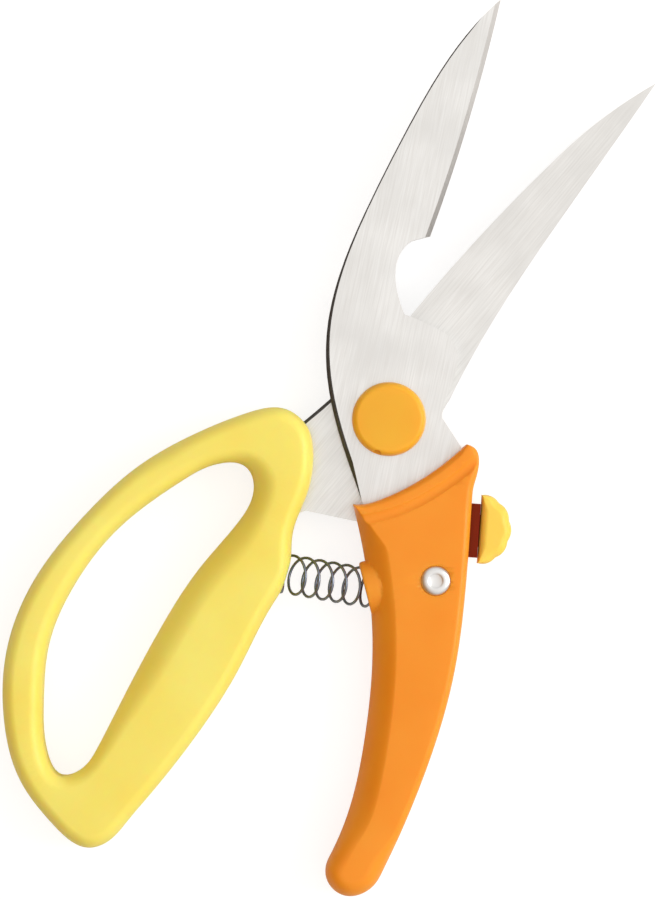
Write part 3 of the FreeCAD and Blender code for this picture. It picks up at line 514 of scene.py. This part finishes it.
for cap, node in ((front_cap, "front_pivot_cap"), (back_cap, "back_pivot_cap")):
    smooth_by_angle(cap, 40)
    fit(cap, "straight_half", "cap_plastic", cap_plastic, node)
slip_nylon = moulded_plastic("slip_nylon", (0.80, 0.79, 0.74), (0.72, 0.71, 0.66))
refinish(slip_nylon, "blade_slip_washer")


# ---- Straight grip ----
# Two moulded shells close round the front blade's tang, held by two screws and the rivet. The
# palm side is sloped, the mouth round the blades is rolled, and a boss holds the spring.
GRIP_TOP = 19.0
PARTING = 9.5
SHARP_TURN = math.radians(32)
SKIN_INSET = 0.2
SPRING_SEAT = Vector((1.8, -47.5, PARTING)) * MM
SPRING_SEAT_TURN = math.radians(24)


def outlines(node, height):
    """The closed outlines that a level plane cuts from a CAD node, the longest first."""
    shape = merged_copy(node)
    cut = bmesh.ops.bisect_plane(
        shape, geom=[*shape.verts, *shape.edges, *shape.faces], dist=1e-7,
        plane_co=(0, 0, height * MM), plane_no=(0, 0, 1), clear_inner=True, clear_outer=True)
    loose = {item for item in cut["geom_cut"] if isinstance(item, bmesh.types.BMEdge)}
    rings = []
    while loose:
        edge = loose.pop()
        start, here = edge.verts
        ring = [start.co.xy.copy()]
        while here is not start:
            ring.append(here.co.xy.copy())
            edge = next(item for item in here.link_edges if item in loose)
            loose.remove(edge)
            here = edge.other_vert(here)
        rings.append(ring)
    shape.free()
    rings.sort(key=lambda ring: -length_round(ring))
    return rings


def length_round(ring):
    return sum((ring[number] - ring[number - 1]).length for number in range(len(ring)))


def turn_at(ring, number):
    """How far the outline turns at one of its points."""
    into = ring[number] - ring[number - 1]
    out = ring[(number + 1) % len(ring)] - ring[number]
    return abs(into.angle_signed(out)) if into.length > 0 and out.length > 0 else 0.0


def even_ring(ring, step, clockwise=False, passes=3):
    """The outline in even steps, smoothed but for its sharp corners, and each point's distance
    round the outline to the nearest corner."""
    area = sum(ring[number - 1].cross(ring[number]) for number in range(len(ring)))
    if (area > 0) == clockwise:
        ring = ring[::-1]
    corners = [number for number in range(len(ring)) if turn_at(ring, number) > SHARP_TURN]
    first = corners[0] if corners else 0
    ring = ring[first:] + ring[:first] + [ring[first]]
    stops = [number - first for number in corners] + [len(ring) - 1]
    if not corners:
        stops = [0, len(ring) - 1]
    points, reach = [], []
    for low, high in zip(stops, stops[1:]):
        run = ring[low:high + 1]
        spans = [(after - before).length for before, after in zip(run, run[1:])]
        count = max(2, round(sum(spans) / step))
        for number in range(count):
            ahead = sum(spans) * number / count
            index = 0
            while ahead > spans[index]:
                ahead -= spans[index]
                index += 1
            points.append(run[index].lerp(run[index + 1], ahead / spans[index]))
            far = sum(spans) * min(number, count - number) / count
            reach.append(far if corners else 1.0)
    for _ in range(passes):
        beside = [points[number - 1].lerp(points[(number + 1) % len(points)], 0.5)
                  for number in range(len(points))]
        points = [point.lerp(middle, 0.5) if far > 0 else point
                  for point, middle, far in zip(points, beside, reach)]
    return points, reach


def crowned(rings, base, top, profile_at, steps=9):
    """A solid on level outlines, a little inside them, from a flat base to a rounded top edge.
    profile_at gives, for a point and the way out of the outline there, the rounding's width,
    depth and fullness."""
    shape = bmesh.new()
    place = shape.verts.layers.int.new("place")
    stations = []
    rim = []
    for points, reach in rings:
        profiles = []
        outwards = []
        for number, point in enumerate(points):
            along = points[(number + 1) % len(points)] - points[number - 1]
            outwards.append(Vector((along.y, -along.x)).normalized())
            profiles.append(Vector(profile_at(point / MM, outwards[-1])))
        count = len(points)
        verts = []
        for number, point in enumerate(points):
            near = [profiles[(number + offset) % count] for offset in range(-3, 4)]
            profile = sum(near, Vector((0, 0, 0))) / len(near)
            width = min(profile[0] * MM, 0.5 * reach[number])
            edge_point = point - outwards[number] * SKIN_INSET * MM
            stations.append((edge_point, -outwards[number], width, profile[1] * MM, profile[2]))
            vert = shape.verts.new((*edge_point, base * MM))
            vert[place] = len(stations) - 1
            verts.append(vert)
        rim += [shape.edges.new((verts[number - 1], verts[number])) for number in range(count)]
    bmesh.ops.triangle_fill(shape, use_beauty=True, edges=rim)
    up = 1 if top > base else -1
    for step in range(steps + 1):
        turn = math.pi / 2 * step / steps
        made = bmesh.ops.extrude_edge_only(shape, edges=rim)["geom"]
        new = {item for item in made if isinstance(item, bmesh.types.BMVert)}
        rim = [item for item in made
               if isinstance(item, bmesh.types.BMEdge) and set(item.verts) <= new]
        for vert in new:
            point, inward, width, depth, fullness = stations[vert[place]]
            across = max(1 - max(math.cos(turn), 0.0) ** (2 / fullness), 0.0)
            spot = point + inward * width * across
            height = top * MM - up * depth * (1 - math.sin(turn) ** (2 / fullness))
            vert.co = (*spot, height)
    bmesh.ops.triangle_fill(shape, use_beauty=True, edges=rim)
    if any(len(edge.link_faces) != 2 for edge in shape.edges):
        raise ValueError("a crowned shape is open")
    bmesh.ops.recalc_face_normals(shape, faces=shape.faces)
    return shape


def grip_profile(point, outward):
    """The palm side slopes, the blades' mouth is rolled, and the back is only softened."""
    palm = ramp(-outward.x, 0.25, 0.85) * ramp(point.y, -126, -108)
    mouth = ramp(outward.y, 0.3, 0.7) * ramp(point.y, -40, -30)
    horn = ramp(point.y, -17, -9) * ramp(point.x, 12, 19)
    end = 1 - ramp(point.y, -122, -112)
    width = mix(mix(mix(mix(2.0, 4.6, end), 6.8, palm), 1.6, mouth), 1.5, horn)
    depth = mix(mix(mix(mix(3.0, 6.0, end), 8.4, palm), 2.2, mouth), 2.0, horn)
    return width, depth, mix(2.0, 1.45, palm)


grip_ring = even_ring(outlines("straight_grip_front_shell", GRIP_TOP - 1.1)[0], 1.1 * MM)
seat_heading = Vector((math.cos(SPRING_SEAT_TURN), math.sin(SPRING_SEAT_TURN), 0))
BOSS_RADIUS = 7.8
BOSS_LENGTH = 10.5
boss_profile = [(0.0, 0.0), (0.0, BOSS_RADIUS - 0.7), (0.2, BOSS_RADIUS - 0.2), (0.7, BOSS_RADIUS)]
for step in range(13):
    turn = math.pi / 2 * step / 12
    boss_profile.append((BOSS_LENGTH - BOSS_RADIUS * (1 - math.sin(turn)),
                         BOSS_RADIUS * math.cos(turn)))


def rod_along(points, radius, height):
    """A round rod along a smooth line of points, as a closed shape."""
    curve = bpy.data.curves.new("rod", "CURVE")
    curve.dimensions = "3D"
    curve.bevel_depth = radius * MM
    curve.bevel_resolution = 6
    curve.resolution_u = 10
    curve.use_fill_caps = True
    spline = curve.splines.new("NURBS")
    spline.points.add(len(points) - 1)
    for point, (x, y) in zip(spline.points, points):
        point.co = (x * MM, y * MM, height * MM, 1)
    spline.order_u = 3
    spline.use_endpoint_u = True
    rod = bpy.data.objects.new("rod", curve)
    bpy.context.scene.collection.objects.link(rod)
    bpy.context.view_layer.update()
    shape = bmesh.new()
    mesh = bpy.data.meshes.new_from_object(rod)
    shape.from_mesh(mesh)
    bmesh.ops.remove_doubles(shape, verts=shape.verts, dist=1e-6)
    bmesh.ops.recalc_face_normals(shape, faces=shape.faces)
    bpy.data.meshes.remove(mesh)
    bpy.data.objects.remove(rod)
    return shape


GROOVE_RADIUS = 1.9
GROOVE_LIFT = 1.2
MOUTH_GROOVE = [(-7.0, -29.8), (-2.4, -28.6), (5.0, -25.6), (12.0, -21.2), (19.2, -14.6),
                (24.6, -8.6), (27.5, -4.0)]

orange_plastic = moulded_plastic("orange_plastic", (1.0, 0.36, 0.025), (0.96, 0.31, 0.015),
                                 seam=PARTING * MM)
for node, outer_face in (("straight_grip_front_shell", GRIP_TOP), ("straight_grip_rear_shell", 0.0)):
    shell = new_piece(f"{node}_moulding", crowned([grip_ring], PARTING, outer_face, grip_profile))
    side = 1 if outer_face > 0 else -1
    combined(shell, ("UNION", spun(boss_profile, SPRING_SEAT, seat_heading)),
             ("DIFFERENCE", rod_along(MOUTH_GROOVE, GROOVE_RADIUS, outer_face + side * GROOVE_LIFT)),
             ("INTERSECT", merged_copy(node)))
    smooth_by_angle(shell, 32)
    fit(shell, "straight_half", "straight_grip_plastic", orange_plastic, node)


# ---- Lock rivet ----
# An aluminium rivet through both shells: its head was pressed in front, with a flat struck in
# the middle, and its tail is peened over a washer at the back.
RIVET = Vector((20.3, -41.5, 0)) * MM
rivet_profile = [
    (0.3, 0.0), (0.3, 2.4), (0.5, 2.75), (0.9, 2.8), (0.9, 2.0), (18.4, 2.0), (18.4, 4.05),
    (18.9, 4.05), (19.3, 3.9), (19.62, 3.5), (19.82, 2.9), (19.88, 2.45), (19.84, 2.1),
    (19.7, 1.85), (19.62, 1.7), (19.62, 0.0),
]
rivet = new_piece("lock_rivet_pressed", spun(rivet_profile, RIVET, (0, 0, 1)))
smooth_by_angle(rivet, 50)
rivet_aluminium = turned_steel("rivet_aluminium", (0.90, 0.89, 0.88), 0.3, 0.45)
fit(rivet, "straight_half", "rivet_aluminium", rivet_aluminium, "lock_rivet")
refinish(rivet_aluminium, "lock_rivet_washer")


# ---- Sliding lock ----
# A moulded carrier slides in the shells and carries the steel plate; its deep maroon is painted
# shade, the orange plastic as it looks shaded beside the pad. The yellow thumb pad is pressed onto
# its end and is scalloped for the thumb.
def pad_profile(point, outward):
    """The same soft rounding all round."""
    return 2.3, 3.2, 2.0


pad_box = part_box("lock_thumb_pad")
pad_middle = (pad_box[0].z + pad_box[1].z) / 2 / MM
pad_outline = outlines("lock_thumb_pad", pad_box[1].z / MM - 0.5)[0]
pad_ring = even_ring(pad_outline, 0.5 * MM, passes=0)
pad_shape = crowned([pad_ring], pad_middle, pad_box[1].z / MM, pad_profile)
pad_back = crowned([pad_ring], pad_middle, pad_box[0].z / MM, pad_profile)
pad = new_piece("lock_thumb_pad_moulding", pad_shape)
combined(pad, ("UNION", pad_back))
smooth_by_angle(pad, 40)
pad_plastic = moulded_plastic("yellow_pad_plastic", (1.0, 0.74, 0.13), (0.98, 0.68, 0.10))
fit(pad, "lock", "thumb_pad_plastic", pad_plastic, "lock_thumb_pad")
# Painted shade: deep maroon stands for the orange carrier plastic in shadow.
carrier_painted_shade_plastic = moulded_plastic("shaded_orange_carrier_plastic", (0.26, 0.024, 0.001), (0.20, 0.016, 0.001),
                                  shine=0.1)
refinish(carrier_painted_shade_plastic, "lock_carrier")


# ---- Loop grip ----
# One closed loop moulded round the rear blade's tang, rounded all over for four fingers, with a
# round socket for the spring.
def loop_profile(point, outward):
    """The finger bar slopes softly into the hole; the other edges are rounded more tightly."""
    bar = ramp(point.x, -66, -54) * ramp(-point.y, 14, 24) * ramp(-outward.x, 0.2, 0.7)
    inner = 1 - ramp(point.x, -36, -28)
    slope = bar * inner
    return mix(3.6, 7.6, slope), mix(5.2, 8.6, slope), mix(2.0, 1.8, slope)


loop_rings = outlines("loop_grip", GRIP_TOP - 2.75)
loop_outer = even_ring(loop_rings[0], 1.3 * MM)
loop_hole = even_ring(loop_rings[1], 1.3 * MM, clockwise=True)
# Two roundings share each bar, so neither may take half of its width.
for (points, reach), (others, _) in ((loop_outer, loop_hole), (loop_hole, loop_outer)):
    for number, point in enumerate(points):
        bar = min((point - other).length for other in others)
        reach[number] = 0.88 * bar
loop_grip = new_piece("loop_grip_moulding",
                      crowned([loop_outer, loop_hole], PARTING, GRIP_TOP, loop_profile))
loop_back = crowned([loop_outer, loop_hole], PARTING, 0.0, loop_profile)
combined(loop_grip, ("UNION", loop_back), ("INTERSECT", merged_copy("loop_grip")))
smooth_by_angle(loop_grip, 32)
yellow_plastic = moulded_plastic("yellow_plastic", (1.0, 0.85, 0.19), (1.0, 0.79, 0.14),
                                 seam=PARTING * MM, glow_through=0.5)
fit(loop_grip, "loop_half", "loop_grip_plastic", yellow_plastic, "loop_grip")


# ---- Return spring ----
# A compression spring coiled from dark spring wire. It stands in the two grips' sockets, with a
# closed turn at each end, and pushes the halves apart.
SPRING_RADIUS = 5.275
WIRE = 0.8
PITCH = 3.8
END_PITCH = 1.1
LEAN = 3.2
SEAT_FLOOR = 4.7   # from the straight grip's boss to the coil's end inside it
loop_end = Vector((-24.25, -46.9))
to_grip = seat_heading.xy
grip_end = SPRING_SEAT.xy / MM + to_grip * SEAT_FLOOR
meet_x = grip_end.x + (loop_end.y - grip_end.y) * to_grip.x / to_grip.y
bend = Vector((meet_x, loop_end.y))
tangent = (grip_end - bend).length
bend_radius = tangent / math.tan(SPRING_SEAT_TURN / 2)
straight = bend.x - tangent - loop_end.x
spring_length = straight + bend_radius * SPRING_SEAT_TURN


def spring_line(distance):
    """A point of the coil's centre line, and its heading, at a distance from the loop end."""
    if distance <= straight:
        return loop_end + Vector((distance, 0)), 0.0
    turn = (distance - straight) / bend_radius
    start = loop_end + Vector((straight, bend_radius))
    return start + bend_radius * Vector((math.sin(turn), -math.cos(turn))), turn


coil = bpy.data.curves.new("return_spring_wire", "CURVE")
coil.dimensions = "3D"
coil.bevel_depth = WIRE / 2 * MM
coil.bevel_resolution = 3
coil.use_fill_caps = True
STEPS_PER_TURN = 28
coil_points = []
distance = WIRE / 2
turns = 0.0
while distance < spring_length - WIRE / 2:
    centre, heading = spring_line(distance)
    phase = math.tau * turns
    from_end = min(distance, spring_length - distance) - WIRE / 2
    sideways = SPRING_RADIUS * math.cos(phase)
    ahead = LEAN * math.sin(phase) * ramp(from_end, 0.5, 5.0)
    coil_points.append((centre.x + math.cos(heading) * ahead - math.sin(heading) * sideways,
                        centre.y + math.sin(heading) * ahead + math.cos(heading) * sideways,
                        PARTING + SPRING_RADIUS * math.sin(phase)))
    distance += mix(END_PITCH, PITCH, ramp(from_end, 0.6, 2.2)) / STEPS_PER_TURN
    turns += 1 / STEPS_PER_TURN
line = coil.splines.new("POLY")
line.points.add(len(coil_points) - 1)
for point, place in zip(line.points, coil_points):
    point.co = (*[part * MM for part in place], 1)
spring = bpy.data.objects.new("return_spring_coil", coil)
bpy.context.scene.collection.objects.link(spring)
bpy.context.view_layer.update()
spring_mesh = bpy.data.meshes.new_from_object(spring)
bpy.data.objects.remove(spring)
spring = bpy.data.objects.new("return_spring_coil", spring_mesh)
bpy.context.scene.collection.objects.link(spring)
spring.data.shade_smooth()
spring.data.materials.clear()
spring.data.materials.append(spring_steel)
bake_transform(spring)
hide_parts("return_spring")


# ---- Last update ----
# The view layer is brought up to date.
bpy.context.view_layer.update()
